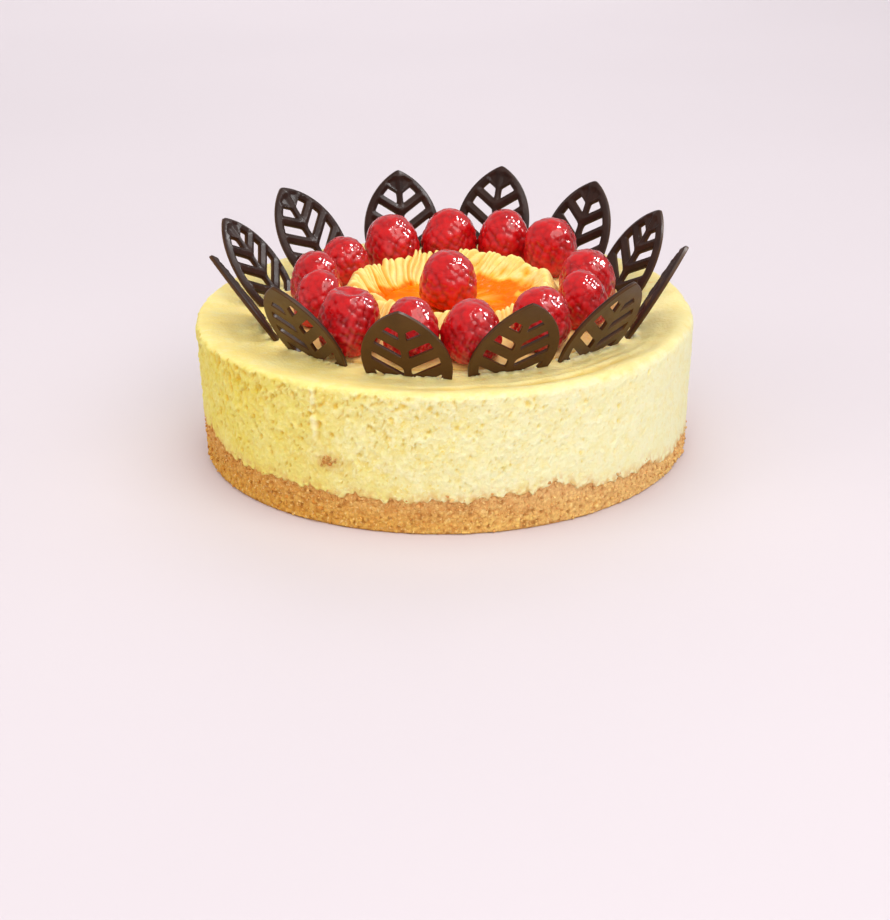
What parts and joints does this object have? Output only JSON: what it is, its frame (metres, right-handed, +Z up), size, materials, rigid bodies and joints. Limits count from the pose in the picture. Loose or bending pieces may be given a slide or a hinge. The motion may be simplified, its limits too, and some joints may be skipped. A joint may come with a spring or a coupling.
{
  "type": "baked cheesecake",
  "caption": "Round baked cheesecake on a crumb base, topped with a piped cream ring, orange glaze, berries and a crown of pierced chocolate leaves.",
  "frame": {"origin": "middle of the flat underside", "axes": "+Z up through the cake, -Y towards the front"},
  "size_m": [0.2038, 0.2031, 0.0928],
  "materials": {
    "crumb": "rough golden biscuit crumb, dry and matt",
    "filling": "pale yellow baked curd, porous at the side and smooth on top",
    "cream": "soft yellow piped cream, satin",
    "glaze": "clear orange fruit glaze, wet",
    "berry": "deep red fruit, glazed and wet",
    "chocolate": "dark moulded chocolate, satin"
  },
  "bodies": {
    "root": {"crumb_base": "crumb", "filling": "filling", "cream_ring": "cream", "glaze_pool": "glaze", "berry_01": "berry", "berry_02": "berry", "berry_03": "berry", "berry_04": "berry", "berry_05": "berry", "berry_06": "berry", "berry_07": "berry", "berry_08": "berry", "berry_09": "berry", "berry_10": "berry", "berry_11": "berry", "berry_12": "berry", "berry_13": "berry", "berry_14": "berry", "leaf_01": "chocolate", "leaf_02": "chocolate", "leaf_03": "chocolate", "leaf_04": "chocolate", "leaf_05": "chocolate", "leaf_06": "chocolate", "leaf_07": "chocolate", "leaf_08": "chocolate", "leaf_09": "chocolate", "leaf_10": "chocolate", "leaf_11": "chocolate", "leaf_12": "chocolate"}
  },
  "joints": []
}
